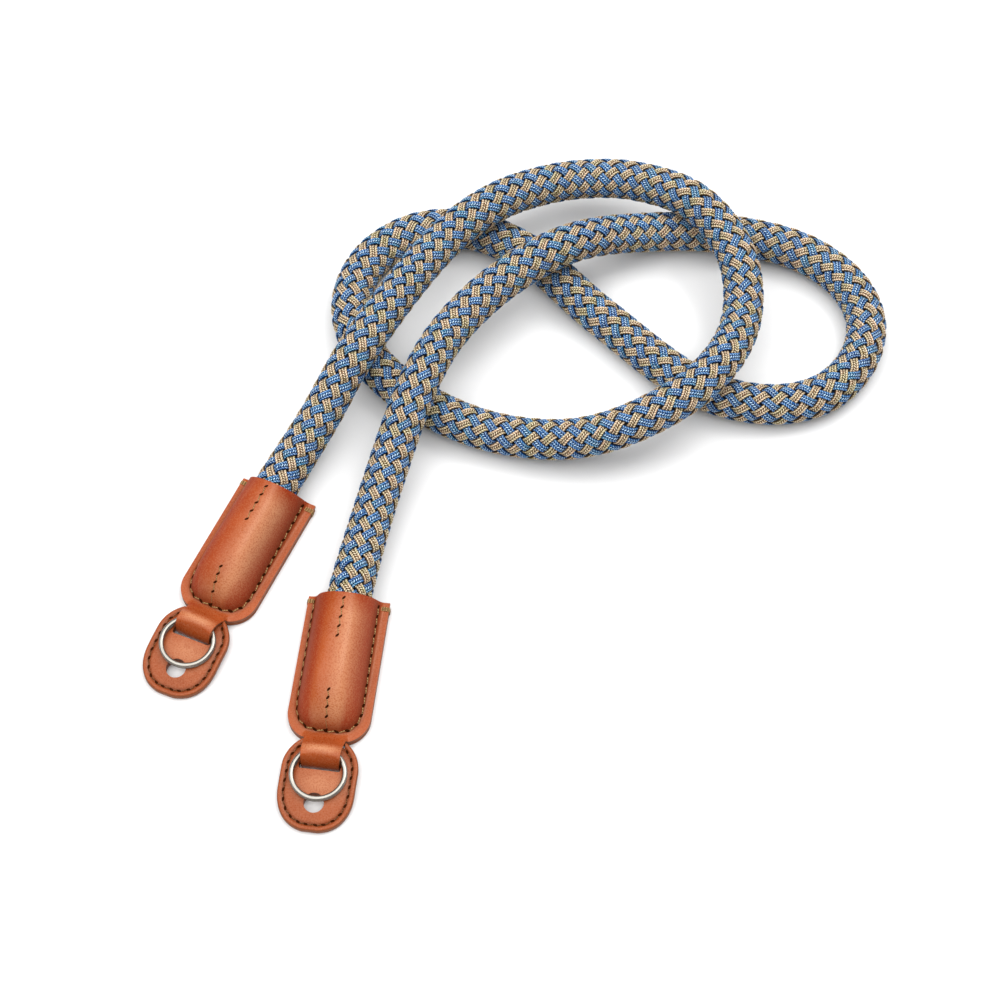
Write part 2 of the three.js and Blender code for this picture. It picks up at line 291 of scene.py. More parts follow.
def braid_strands(name, which, hand, over, seed, yarn):
    """Some of the strands that turn one way, as one mesh, mapped in millimetres along and across."""
    chance = np.random.default_rng(seed)
    count = len(strand_section)
    stations = len(rope_along)
    wave = np.tanh(float_squareness * np.cos(np.pi * rope_along / float_length))
    wave = wave / np.tanh(float_squareness) * over
    to_mouth = np.maximum(np.minimum(rope_along, rope_along[-1] - rope_along) - rope_in_sleeve, 0)
    flare = rope_flare * np.exp(-((to_mouth / flare_reach) ** 2))
    corners, places, lifts, faces = [], [], [], []
    for n, k in enumerate(which):
        drift = wander(chance, drift_knots, drift_spread)
        swell = wander(chance, swell_knots, swell_spread)
        turn = 2 * np.pi * (k / strands_each_way + hand * rope_along / strand_lay)
        turn = turn + drift / strand_mid_radius
        outward = np.cos(turn)[:, None] * rope_side + np.sin(turn)[:, None] * rope_up
        middle = rope_points + outward * (strand_mid_radius + flare + strand_lift * wave)[:, None]
        run = unit(np.gradient(middle, axis=0))
        across = unit(np.cross(run, outward))
        raised = np.cross(across, run)
        width = strand_fill + swell - float_narrowing * wave + flare_widening * flare / strand_mid_radius
        wide = across[:, None] * (strand_section[:, 0] * width[:, None])[:, :, None]
        tall = raised[:, None] * strand_section[:, 1][None, :, None]
        corners.append((middle[:, None] + wide + tall).reshape(-1, 3))
        along = np.repeat(run_length(middle), count)
        places.append(np.stack([along, np.tile(strand_section[:, 0], stations)], 1) * 1000)
        lifts.append(np.repeat(wave, count))
        first = n * stations * count
        grid = first + np.arange(stations * count).reshape(stations, count)
        near, far = grid[:-1], grid[1:]
        sides = [near, np.roll(near, -1, 1), np.roll(far, -1, 1), far]
        faces.append(np.stack(sides, -1).reshape(-1, 4))
        half = np.arange(count // 2 - 1)
        cap = np.stack([half, half + 1, count - 2 - half, count - 1 - half], 1)
        faces.append(first + cap[:, ::-1])
        faces.append(first + (stations - 1) * count + cap)
    piece = mesh_piece(name, np.vstack(corners), np.vstack(faces), yarn, "strand", np.vstack(places))
    carry(piece.data, "float_lift", np.concatenate(lifts))
    return piece


def strand_yarn(name, deep, body, light, other, tint, outer_glint, outer_pale, middle_deep):
    """Glossy twisted yarn, three side by side, the middle one twisted the other way, with painted glints on
    the twist and painted shade in its valleys, between the yarns, along the strand's edges and where it dives
    under.
    """
    material, tree, shader = new_material(name)
    strand_map = add_node(tree, "ShaderNodeUVMap", uv_map="strand").outputs["UV"]
    split = add_node(tree, "ShaderNodeSeparateXYZ", {"Vector": strand_map})
    along, across = split.outputs["X"], split.outputs["Y"]
    from_middle = sums(tree, "ABSOLUTE", across)
    outer = eased(tree, from_middle, 0.30, 0.44)
    # Painted shade along each strand's edges.
    border_shade = eased(tree, from_middle, 0.92, 1.10)
    yarn_place = sums(tree, "MULTIPLY_ADD", across, 1 / yarn_width, 0.5)
    yarn_number = sums(tree, "ABSOLUTE", sums(tree, "FLOOR", yarn_place))
    within = sums(tree, "SUBTRACT", sums(tree, "FRACT", yarn_place), 0.5)
    # The gap between yarns: raised in the bump, and darkened as painted shade.
    groove = eased(tree, sums(tree, "ABSOLUTE", within), 0.24, 0.46)
    twist_hand = sums(tree, "MULTIPLY_ADD", yarn_number, -2.0, 1.0)
    slant = sums(tree, "MULTIPLY", sums(tree, "MULTIPLY", within, twist_hand), twist_slant)
    turned = sums(tree, "MULTIPLY_ADD", along, 2 * math.pi / twist_length, slant)
    twist = sums(tree, "MULTIPLY_ADD", sums(tree, "SINE", turned), 0.5, 0.5)
    tone = noise(tree, strand_map, 0.30, 3.0)
    hue = noise(tree, strand_map, 0.21, 1.0)
    # Painted highlights: light glints on the crests of the twist.
    glint = eased(tree, noise(tree, strand_map, 1.7), 0.30, 0.55)
    glint = sums(tree, "MULTIPLY", eased(tree, twist, 0.45, 0.90), glint)
    glint = sums(tree, "MULTIPLY", glint, sums(tree, "MULTIPLY_ADD", outer, outer_glint - 1, 1.0))
    # Painted shade in the twist's valleys.
    twist_valley_shade = sums(tree, "MULTIPLY_ADD", outer, -0.35, 0.85)
    twist_valley_shade = sums(tree, "MULTIPLY", eased(tree, twist, 0.55, 0.0), twist_valley_shade)
    # Painted shade where the strand dives under the crossing one.
    sunk_shade = eased(tree, shade(tree, "float_lift"), -0.2, -1.0)
    colour = mixed(tree, eased(tree, tone, 0.36, 0.64), body, other)
    colour = mixed(tree, eased(tree, hue, 0.50, 0.64), colour, tint)
    colour = mixed(tree, sums(tree, "MULTIPLY", outer, outer_pale), colour, light)
    colour = mixed(tree, sums(tree, "MULTIPLY_ADD", outer, -middle_deep, middle_deep), colour, deep)
    colour = mixed(tree, twist_valley_shade, colour, deep)
    colour = mixed(tree, glint, colour, light)
    colour = mixed(tree, sums(tree, "MULTIPLY", groove, 0.92), colour, deep)
    colour = mixed(tree, sums(tree, "MULTIPLY", border_shade, 0.45), colour, deep)
    colour = mixed(tree, sums(tree, "MULTIPLY", sunk_shade, 0.4), colour, deep)
    tree.links.new(colour, shader.inputs["Base Color"])
    height = sums(tree, "SUBTRACT", sums(tree, "MULTIPLY", twist, 0.6), groove)
    raise_surface(tree, shader, height, 0.7, 0.00016)
    tree.links.new(between(tree, twist, 0.62, 0.42), shader.inputs["Roughness"])
    shader.inputs["Specular IOR Level"].default_value = 0.08
    return material


blue_yarn = strand_yarn(
    "blue_yarn",
    deep=(0.002, 0.012, 0.045, 1),
    body=(0.008, 0.070, 0.27, 1),
    light=(0.66, 0.86, 0.98, 1),
    other=(0.017, 0.150, 0.43, 1),
    tint=(0.010, 0.15, 0.30, 1),
    outer_glint=0.5,
    outer_pale=0.0,
    middle_deep=0.0,
)
beige_yarn = strand_yarn(
    "beige_yarn",
    deep=(0.038, 0.018, 0.006, 1),
    body=(0.31, 0.185, 0.048, 1),
    light=(0.94, 0.84, 0.62, 1),
    other=(0.52, 0.26, 0.15, 1),
    tint=(0.27, 0.215, 0.035, 1),
    outer_glint=0.75,
    outer_pale=0.25,
    middle_deep=0.3,
)
for name, which, hand, over, seed, yarn in [
    ("rope_blue_strands_1", range(0, 4), -1, 1, 11, blue_yarn),
    ("rope_blue_strands_2", range(4, 8), -1, 1, 12, blue_yarn),
    ("rope_beige_strands_1", range(0, 4), 1, -1, 13, beige_yarn),
    ("rope_beige_strands_2", range(4, 8), 1, -1, 14, beige_yarn),
]:
    piece = braid_strands(name, which, hand, over, seed, yarn)
    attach(piece, "root")
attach(rope_core, "root")
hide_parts("rope")

# Leather ends. Both ends are alike, so each piece is modelled once, mouth on y = 0 and tab towards -y,
# and copied to where the end lies: the middle of its mouth, and its turn seen from above, in degrees.
# Their sizes are in millimetres, and a flap can turn a little where its tab goes through.
mm = 0.001
strap_ends = [
    {"name": "a", "mouth": (0.0019, 0.0495), "turn": 25.3, "flap_turn": -3.0},
    {"name": "b", "mouth": (0.0229, 0.0148), "turn": 7.2, "flap_turn": 0.0},
]
flap_pivot = 51.75
leather_thick = 1.1
smooth_below = math.radians(40)


def lay_at_ends(pattern, name, nodes=(), with_flap=False):
    """A copy of the pattern at each end, with its own mesh and its place in the mesh."""
    for end in strap_ends:
        copy = pattern.copy()
        copy.data = pattern.data.copy()
        copy.name = copy.data.name = f"{name}_{end['name']}"
        bpy.context.scene.collection.objects.link(copy)
        if with_flap:
            pivot = Vector((0, -flap_pivot * mm, 0))
            swing = Matrix.Rotation(-math.radians(end["flap_turn"]), 4, "Z")
            copy.data.transform(Matrix.Translation(pivot) @ swing @ Matrix.Translation(-pivot))
        copy.data.transform(Matrix.Rotation(-math.radians(end["turn"]), 4, "Z"))
        copy.data.transform(Matrix.Translation((*end["mouth"], 0)))
        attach(copy, "root")
        for node in nodes:
            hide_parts(f"{node}_{end['name']}")
    bpy.data.objects.remove(pattern)


def leather(name, body, deep, pale, rough):
    """Vegetable-tanned leather: cloudy, with fine pores, with painted shade by the seams and on the mould's
    steep sides, a little painted sheen on flat parts, and painted highlights where the mesh carries them.
    """
    material, tree, shader = new_material(name)
    # Pale colour painted where the leather would shine: a painted highlight.
    painted_highlight_colour = (0.56, 0.25, 0.125, 1)
    # Deep red-brown for the painted shade on the mould's steep sides.
    flank_shade_colour = (0.95 * deep[0], 0.5 * deep[1], 0.0, 1)
    # Dark colour for the painted shade in the seam's groove.
    seam_shade_colour = (0.35 * deep[0], 0.35 * deep[1], 0.35 * deep[2], 1)
    place = object_place(tree)
    cloud = noise(tree, place, 110.0, 5.0, 0.6)
    fine = noise(tree, place, 2500.0, 1.5)
    cells = {"Vector": place, "Scale": 1900.0}
    pores = add_node(tree, "ShaderNodeTexVoronoi", cells, feature="DISTANCE_TO_EDGE").outputs["Distance"]
    foot = shade(tree, "flank_shade_and_matte")
    speckle = sums(tree, "MULTIPLY_ADD", eased(tree, fine, 0.30, 0.66), 0.6, 0.4)
    # Painted highlight, speckled by the grain, where the mesh carries it.
    highlight_share = sums(tree, "MULTIPLY", shade(tree, "stretched"), speckle)
    colour = mixed(tree, eased(tree, cloud, 0.3, 0.7), deep, body)
    # Painted shade on the steep sides, which are also made rougher below.
    colour = mixed(tree, sums(tree, "MULTIPLY", foot, 0.9), colour, flank_shade_colour)
    # A little painted sheen on flat, upward-facing parts.
    colour = mixed(tree, sums(tree, "MULTIPLY", shade(tree, "flat_sheen"), 0.05), colour, pale)
    colour = mixed(tree, highlight_share, colour, painted_highlight_colour)
    colour = mixed(tree, sums(tree, "MULTIPLY", eased(tree, fine, 0.40, 0.70), 0.4), colour, pale)
    # Painted shade in the seam's groove.
    colour = mixed(tree, sums(tree, "MULTIPLY", shade(tree, "seam_shade"), 0.6), colour, seam_shade_colour)
    tree.links.new(colour, shader.inputs["Base Color"])
    raise_surface(tree, shader, sums(tree, "ADD", eased(tree, pores, 0.0, 0.16), fine), 0.45, 0.00002)
    gloss = between(tree, fine, rough - 0.06, rough + 0.06)
    tree.links.new(sums(tree, "MULTIPLY_ADD", foot, 0.5, gloss), shader.inputs["Roughness"])
    shader.inputs["Specular IOR Level"].default_value = 0.30
    shader.inputs["Specular Tint"].default_value = (1.0, 0.88, 0.70, 1)
    return material


def cut_edge(name, body, deep):
    """The burnished cut edge of the leather, with fibres that run along it."""
    material, tree, shader = new_material(name)
    layers = {"Vector": object_place(tree), "Scale": (1.0, 1.0, 5.0)}
    fibre = noise(tree, add_node(tree, "ShaderNodeMapping", layers).outputs["Vector"], 700.0, 4.0)
    tree.links.new(mixed(tree, fibre, deep, body), shader.inputs["Base Color"])
    raise_surface(tree, shader, fibre, 0.3, 0.0001)
    shader.inputs["Roughness"].default_value = 0.5
    shader.inputs["Specular IOR Level"].default_value = 0.2
    return material


def make_thick(piece, rounding):
    """Gives a face the leather's thickness below it, and rounds off the cut edge."""
    thicken = piece.modifiers.new("thick", "SOLIDIFY")
    thicken.thickness = leather_thick * mm
    thicken.offset = -1
    thicken.material_offset_rim = 1
    round_off = piece.modifiers.new("round_off", "BEVEL")
    round_off.width = rounding * mm
    round_off.segments = 3
    round_off.material = 1
    round_off.limit_method = "ANGLE"
    round_off.angle_limit = math.radians(60)
    for modifier in ("thick", "round_off"):
        bpy.ops.object.modifier_apply(modifier=modifier)
    bpy.ops.object.shade_smooth_by_angle(angle=smooth_below)


# Sleeve back: flat leather, cut to the same outline as the front's flange, with burnished edges.
# It lies under the rope's end and is sewn to the flange.
sleeve_half = 11.4
sleeve_length = 43.5
sleeve_corner = 8.0
back_edge_round = 0.22
back_leather = leather(
    "back_leather", (0.32, 0.105, 0.043, 1), (0.24, 0.070, 0.027, 1), (0.38, 0.15, 0.07, 1), 0.58
)
edge_leather = cut_edge("edge_leather", (0.30, 0.092, 0.030, 1), (0.13, 0.034, 0.010, 1))
bpy.ops.object.select_all(action="DESELECT")
bpy.ops.mesh.primitive_plane_add(size=1)
back = bpy.context.object
back.scale = (2 * sleeve_half * mm, sleeve_length * mm, 1)
back.location = (0, -sleeve_length / 2 * mm, leather_thick * mm)
bpy.ops.object.transform_apply(location=True, rotation=True, scale=True)
bpy.ops.object.mode_set(mode="EDIT")
bpy.ops.mesh.select_all(action="DESELECT")
bpy.ops.object.mode_set(mode="OBJECT")
for corner in back.data.vertices:
    corner.select = corner.co.y < -sleeve_length / 2 * mm
bpy.ops.object.mode_set(mode="EDIT")
bpy.ops.mesh.select_mode(type="VERT")
bpy.ops.mesh.bevel(
    offset=sleeve_corner * mm, segments=14, affect="VERTICES", offset_type="OFFSET", clamp_overlap=False
)
bpy.ops.mesh.select_all(action="SELECT")
for band in (1.6, 0.5):
    bpy.ops.mesh.inset(thickness=band * mm)
bpy.ops.mesh.select_all(action="SELECT")
bpy.ops.object.mode_set(mode="OBJECT")
back.data.materials.append(back_leather)
back.data.materials.append(edge_leather)
make_thick(back, back_edge_round)
lay_at_ends(back, "back_leather", ["sleeve_back"])

# Sleeve front: one piece of leather, moulded wet over the rope's end and sewn down round the mould's foot.
# The mouth's lip leans back. At the closed end the leather runs on as a tab, over the ring, down through
# the flap's slot and back beneath the flap.
sleeve_leather = leather(
    "sleeve_leather", (0.35, 0.064, 0.012, 1), (0.29, 0.044, 0.006, 1), (0.42, 0.135, 0.058, 1), 0.29
)
sleeve_edge_round = 0.2
flange_top = 2.5
dome_half = 8.75
dome_shift = -0.2
dome_rise = 12.6
dome_taper_start = 30.0
crown_drop_start = 24.0
plan_roundness = 3.2
mould_softness = 0.6
seam_half = 9.05
seam_start = 2.0
seam_end = 40.8
seam_shift = -0.56
seam_drift = 0.011
seam_groove_deep = 0.32
seam_groove_wide = 0.55
middle_rows = [(6.0, 17.6), (33.0, 40.6)]
middle_groove_deep = 0.08
middle_groove_wide = 0.5
middle_groove_fade = 0.8
lip_setback = 4.2
lip_reach = 20.0
mouth_skew = -0.026
tab_half = 5.75
tab_start = 43.147
tab_rise_start = 40.9
tab_rise = 1.35
tab_shoulder = 6.6
tab_shoulder_wide = 1.6
grid_step = 0.1
fine_across = np.arange(-13.0, 13.05, grid_step)
fine_along = np.arange(-6.0, 48.05, grid_step)


def blurred(heights, width):
    """The leather can't follow a sharp corner, so heights are rounded over about this width."""
    pad = round(3 * width / grid_step)
    reach = np.arange(-pad, pad + 1) * grid_step
    weight = np.exp(-((reach / width) ** 2) / 2)
    weight /= weight.sum()
    for axis in (0, 1):
        padded = np.pad(heights, [(pad, pad) if a == axis else (0, 0) for a in (0, 1)], mode="edge")
        heights = np.apply_along_axis(lambda line: np.convolve(line, weight, mode="valid"), axis, padded)
    return heights


def seam_plan(count):
    """The seam round the mould's foot, seen from above, from the mouth's left corner to its right one.
    It isn't quite on the sleeve's middle: it sits to the left, most of all at the mouth."""
    turn = np.sin(np.linspace(0, 1, 400) * np.pi / 2)
    along = dome_taper_start + (seam_end - dome_taper_start) * turn
    along = np.concatenate([np.linspace(seam_start, dome_taper_start, 200), along])
    part = np.clip((along - dome_taper_start) / (seam_end - dome_taper_start), 0, 1)
    across = seam_half * (1 - part**plan_roundness) ** (1 / plan_roundness)
    middle = seam_shift + seam_drift * along
    left, right = np.stack([middle - across, along], 1), np.stack([middle + across, along], 1)
    return evenly(np.vstack([left, right[::-1]]), count)


def nearness(points, across, along):
    """Distance in plan from each place to the nearest of the points."""
    best = np.full(across.shape, 1e9)
    for x, y in points:
        best = np.minimum(best, (across - x) ** 2 + (along - y) ** 2)
    return np.sqrt(best)


across_grid, along_grid = np.meshgrid(fine_across, fine_along)
crown_drop = np.clip((along_grid - crown_drop_start) / (seam_end - crown_drop_start), 0, 1)
narrowing = np.clip((along_grid - dome_taper_start) / (seam_end - dome_taper_start), 0, 1)
dome_width = np.maximum(dome_half * (1 - narrowing**plan_roundness) ** (1 / plan_roundness), 1e-6)
flattening = smoothed(np.clip((along_grid - 3) / 11, 0, 1))
arch = np.clip(np.abs(across_grid - dome_shift) / dome_width, 0, 1)
arch = (1 - arch ** (2.1 + 0.8 * flattening)) ** (0.55 + 0.07 * flattening)
sleeve_heights = blurred(dome_rise * (1 - crown_drop**2.3) ** 0.6 * arch, mould_softness)
seam_distance = nearness(seam_plan(420), across_grid, along_grid)
sleeve_heights -= seam_groove_deep * np.exp(-((seam_distance / seam_groove_wide) ** 2))
for first, last in middle_rows:
    begun = np.clip((along_grid - first + middle_groove_fade) / middle_groove_fade, 0, 1)
    ended = np.clip((last + middle_groove_fade - along_grid) / middle_groove_fade, 0, 1)
    sleeve_heights -= middle_groove_deep * begun * ended * np.exp(-((across_grid / middle_groove_wide) ** 2))
tab_climb = np.clip((along_grid - tab_rise_start) / (tab_start - tab_rise_start), 0, 1.3)
shoulder = smoothed(np.clip((tab_shoulder - np.abs(across_grid)) / tab_shoulder_wide, 0, 1))
side_slope = np.abs(np.gradient(sleeve_heights, grid_step, axis=1))
sleeve_heights += flange_top + tab_rise * tab_climb**1.3 * shoulder


def looked_up(table, across, along):
    """A value between the fine grid's points."""
    col = np.clip((across - fine_across[0]) / grid_step, 0, len(fine_across) - 1.001)
    row = np.clip((along - fine_along[0]) / grid_step, 0, len(fine_along) - 1.001)
    c, r = col.astype(int), row.astype(int)
    fc, fr = col - c, row - r
    near = table[r, c] * (1 - fc) + table[r, c + 1] * fc
    far = table[r + 1, c] * (1 - fc) + table[r + 1, c + 1] * fc
    return near * (1 - fr) + far * fr


def sleeve_edge(along):
    """Half the leather's width at a place along it."""
    turn = np.clip(along - (sleeve_length - sleeve_corner), 0, sleeve_corner)
    wide = sleeve_half - sleeve_corner + np.sqrt(np.maximum(sleeve_corner**2 - turn**2, 0))
    return np.where(along > tab_start, tab_half, np.maximum(wide, tab_half))


def smooth_path(knots, count):
    """A smooth line through the knots, in even steps."""
    knots = np.array(knots, float)
    ends = np.vstack([2 * knots[0] - knots[1], knots, 2 * knots[-1] - knots[-2]])
    t = np.linspace(0, 1, 24, endpoint=False)[:, None]
    runs = []
    for i in range(1, len(ends) - 2):
        p0, p1, p2, p3 = ends[i - 1 : i + 3]
        square = 2 * p0 - 5 * p1 + 4 * p2 - p3
        cube = 3 * p1 - p0 - 3 * p2 + p3
        runs.append(0.5 * (2 * p1 + (p2 - p0) * t + square * t**2 + cube * t**3))
    return evenly(np.vstack(runs + [knots[-1][None]]), count)


# The tab's outer face from the side, along, height and half its width, on its middle line and at its edges.
tab_middle = [
    (43.147, 3.85, 5.75), (44.0, 4.60, 5.65), (45.0, 5.55, 5.55), (46.0, 6.45, 5.50), (47.2, 7.16, 5.42),
    (48.3, 7.28, 5.35), (49.4, 6.75, 5.30), (50.5, 5.35, 5.22), (51.15, 3.9, 5.15), (51.4, 2.6, 5.1),
    (51.25, 1.3, 5.1), (50.5, 0.3, 5.1), (49.3, 0.03, 5.1), (47.0, 0.03, 5.1), (44.2, 0.03, 5.1),
]
tab_side = [
    (43.147, 3.24, 5.75), (44.0, 3.95, 5.65), (45.1, 4.98, 5.55), (46.4, 6.20, 5.50), (47.8, 7.00, 5.42),
    (49.2, 7.25, 5.35), (50.3, 6.85, 5.30), (51.05, 5.4, 5.22), (51.35, 3.9, 5.15), (51.44, 2.6, 5.1),
    (51.25, 1.3, 5.1), (50.5, 0.3, 5.1), (49.3, 0.03, 5.1), (47.0, 0.03, 5.1), (44.2, 0.03, 5.1),
]
sleeve_cols = 66
dome_rows = 118
tab_rows = 84
tab_foot_rows = 18
centre_line = np.arange(0, tab_start + 0.005, 0.05)
centre_height = looked_up(sleeve_heights, 0 * centre_line, centre_line)
climb = np.hypot(np.gradient(centre_line), np.gradient(centre_height))
climb += 0.12 * np.exp(-(((centre_line - 42.9) / 0.5) ** 2))
climb = np.cumsum(climb)
row_along = np.interp(np.linspace(climb[0], climb[-1], dome_rows + 1), climb, centre_line)
row_along[0], row_along[-1] = 0.0, tab_start
sleeve_points = np.zeros((dome_rows + tab_rows + 1, sleeve_cols + 1, 3))
for i, along in enumerate(row_along):
    line = np.linspace(-sleeve_edge(along), sleeve_edge(along), 500)
    level = looked_up(sleeve_heights, line, np.full(500, along))
    across = evenly(np.stack([line, level], 1), sleeve_cols + 1)[:, 0]
    raised = looked_up(sleeve_heights, across, 0 * across + along) - flange_top
    lip = lip_setback * np.clip(raised / dome_rise, 0, 1)
    fade = smoothed(np.clip(1 - along / lip_reach, 0, 1))
    back_by = along + (lip + mouth_skew * across) * fade
    sleeve_points[i] = np.stack([across, -back_by, looked_up(sleeve_heights, across, back_by)], 1)
foot_fade = np.clip(1 - np.arange(1, tab_rows + 1) / tab_foot_rows, 0, 1) ** 2
for j, across in enumerate(np.linspace(-1, 1, sleeve_cols + 1)):
    knots = np.array(tab_middle) * (1 - across**2) + np.array(tab_side) * across**2
    path = smooth_path(knots, tab_rows + 1)[1:]
    path[:, 1] += (sleeve_points[dome_rows, j, 2] - knots[0, 1]) * foot_fade
    sleeve_points[dome_rows + 1 :, j] = np.stack([across * path[:, 2], -path[:, 0], path[:, 1]], 1)
bpy.ops.object.select_all(action="DESELECT")
bpy.ops.mesh.primitive_grid_add(x_subdivisions=sleeve_cols, y_subdivisions=dome_rows + tab_rows, size=1)
sleeve = bpy.context.object

# Values the leather's material reads, point by point: painted shade by the seam, a little painted sheen on
# the flat parts, painted shade and a rougher finish on the steep sides of the mould, and painted highlights
# on the crown, the closed end and the tab's ridge. The painted highlight lies further right on end a, whose
# left side gets painted shade too.
end_shades = [
    {"end": "a", "highlight_line": 5.0, "highlight_strength": 1.0, "left_shade": 0.6},
    {"end": "b", "highlight_line": 2.9, "highlight_strength": 0.8, "left_shade": 0.0},
]
highlight_wide = 3.7
closed_end = {"along": 38.4, "wide": 2.9, "highlight_strength": 0.5}
tab_fold = {"along": 47.6, "wide": 1.2, "above": 5.0}
far_from_seam = 9.0
points = len(sleeve.data.vertices)
seam_near, flat_sheen_share = np.zeros(points), np.zeros(points)
foot = {"a": np.zeros(points), "b": np.zeros(points)}
stretched = {"a": np.zeros(points), "b": np.zeros(points)}
for n, corner in enumerate(sleeve.data.vertices):
    j = round((corner.co.x + 0.5) * sleeve_cols)
    i = round((0.5 - corner.co.y) * (dome_rows + tab_rows))
    x, y, z = sleeve_points[i, j]
    corner.co = sleeve_points[i, j] * mm
    if i > dome_rows:
        seam_near[n] = far_from_seam
        # Painted highlight along the tab's ridge.
        fold = math.exp(-(((y + tab_fold["along"]) / tab_fold["wide"]) ** 2)) * (z > tab_fold["above"])
        for end in "ab":
            stretched[end][n] = fold * np.clip(1.5 - abs(x) / 5, 0, 1)
        continue
    seam_near[n] = looked_up(seam_distance, np.array([x]), np.array([-y]))[0]
    # Flat parts near the flange top get a little painted sheen.
    flat_sheen_share[n] = np.clip(1 - (z - flange_top) / 1.5, 0, 1)
    if -y > tab_rise_start - 0.6:
        flat_sheen_share[n] *= np.clip((abs(x) - 5.4) / 1.0, 0, 1)
    slope = looked_up(side_slope, np.array([x]), np.array([-y]))[0]
    # The steep sides get painted shade and a rougher finish.
    steep = smoothed(np.clip((slope - 0.35) / 0.75, 0, 1))
    on_mould = np.clip((z - flange_top) / 0.8, 0, 1)
    top = np.clip((z - flange_top) / dome_rise, 0, 1)
    on_top = np.clip(top / 0.7, 0, 1) ** 2 * np.clip((-y - 4) / 6, 0, 1)
    # Painted highlight on the closed end of the mould.
    crest = math.exp(-(((y + closed_end["along"]) / closed_end["wide"]) ** 2))
    crest *= closed_end["highlight_strength"] * np.clip(1.6 - abs(x) / 5, 0, 1)
    for row in end_shades:
        # End a also gets painted shade over the left side of its mould.
        left = row["left_shade"] * np.clip((-x - 0.3) / 3.5, 0, 1)
        steepness = max(steep, left) * on_mould
        # Painted highlight along a band right of the crown.
        pale = row["highlight_strength"] * math.exp(-(((x - row["highlight_line"]) / highlight_wide) ** 2)) * on_top
        foot[row["end"]][n] = steepness
        stretched[row["end"]][n] = pale + crest * (1 - steepness)
# Painted shade along the seam's groove.
carry(sleeve.data, "seam_shade", np.exp(-((seam_near / 0.7) ** 2)))
carry(sleeve.data, "flat_sheen", flat_sheen_share)
for end in "ab":
    carry(sleeve.data, f"stretched_{end}", stretched[end])
    carry(sleeve.data, f"flank_shade_and_matte_{end}", foot[end])
sleeve.data.materials.append(sleeve_leather)
sleeve.data.materials.append(edge_leather)
make_thick(sleeve, sleeve_edge_round)
lay_at_ends(sleeve, "sleeve_leather", ["sleeve_front"])
for end, other in [("a", "b"), ("b", "a")]:
    carried_shades = bpy.data.objects[f"sleeve_leather_{end}"].data.attributes
    for name in ("stretched", "flank_shade_and_matte"):
        carried_shades.remove(carried_shades[f"{name}_{other}"])
        carried_shades[f"{name}_{end}"].name = name

# Flap: a leather patch sewn round its edge, with a round rim. The tab goes down through its slot, a round
# hole is punched below, partly under the ring, and it is cut away where the tab rises.
# Its free end bends to the ground.
flap_leather = leather(
    "flap_leather", (0.30, 0.058, 0.013, 1), (0.25, 0.042, 0.007, 1), (0.39, 0.130, 0.058, 1), 0.29
)
flap_half = 10.4
flap_start = 43.7
flap_arc_centre = 52.0
flap_bow_start = 58.0
flap_bow_roundness = 2.25
flap_end = 69.5
flap_end_trim = 0.15
flap_thick = 1.9
flap_crown = 0.5
flap_raise = 1.4
flap_ground_gap = 0.05
flap_bend_length = 15.5
flap_rim_round = 0.6
flap_under_round = 0.4
flap_seam_inset = 1.65
flap_groove_deep = 0.30
flap_groove_wide = 0.45
# Share of painted sheen over the whole flap.
flap_flat_sheen = 0.35
# Painted highlight on the flap's middle, between the slot and the hole.
flap_highlight = {"across": 1.0, "along": 56.5, "wide": 6.0, "long": 3.6, "highlight_strength": 0.6}
flap_cols = 64
flap_rows = 96


def flap_edge(along):
    """Half the flap's width: a round upper end, and a free end that is a little squarer."""
    upper = np.sqrt(np.maximum(flap_half**2 - (flap_arc_centre - along) ** 2, 0))
    bow = np.clip((along - flap_bow_start) / (flap_end - flap_bow_start), 0, 1)
    lower = flap_half * (1 - bow**flap_bow_roundness) ** (1 / flap_bow_roundness)
    return np.where(along < flap_arc_centre, upper, lower)


def flap_under(along):
    """Height of the flap's underside, which comes down to the ground at the free end."""
    part = np.clip((flap_end - along) / flap_bend_length, 0, 1)
    return flap_ground_gap + (flap_raise - flap_ground_gap) * smoothed(part)


def rim_drop(inset, radius):
    """How far a face has turned down at this distance from a round rim."""
    return radius - np.sqrt(radius**2 - np.clip(radius - inset, 0, radius) ** 2)


flap_part = (1 - np.cos(np.linspace(0, np.pi, flap_rows + 1))) / 2
flap_along = flap_start + (flap_end - flap_end_trim - flap_start) * flap_part
flap_across = np.sin(np.linspace(-0.5, 0.5, flap_cols + 1) * np.pi)
flap_side_along = np.interp(np.linspace(0, flap_rows, 900), np.arange(flap_rows + 1), flap_along)
flap_side = np.stack([flap_edge(flap_side_along), flap_side_along], 1)
flap_free_edge = np.linspace(-flap_side[-1, 0], flap_side[-1, 0], 60)[1:-1]
flap_free_edge = np.stack([flap_free_edge, np.full(58, flap_along[-1])], 1)
flap_outline = np.vstack([flap_side * (-1, 1), flap_free_edge, flap_side[::-1]])


def flap_top(across, along):
    """Height of the flap's upper face, lower along the seam, and the distance to the rim."""
    inset = nearness(flap_outline, across, along)
    groove = -flap_groove_deep * np.exp(-(((inset - flap_seam_inset) / flap_groove_wide) ** 2))
    crown = flap_crown * (1 - (across / flap_half) ** 2) * np.clip(inset / 3 - 0.6, 0, 1)
    return flap_under(along) + flap_thick + crown + groove - rim_drop(inset, flap_rim_round), inset


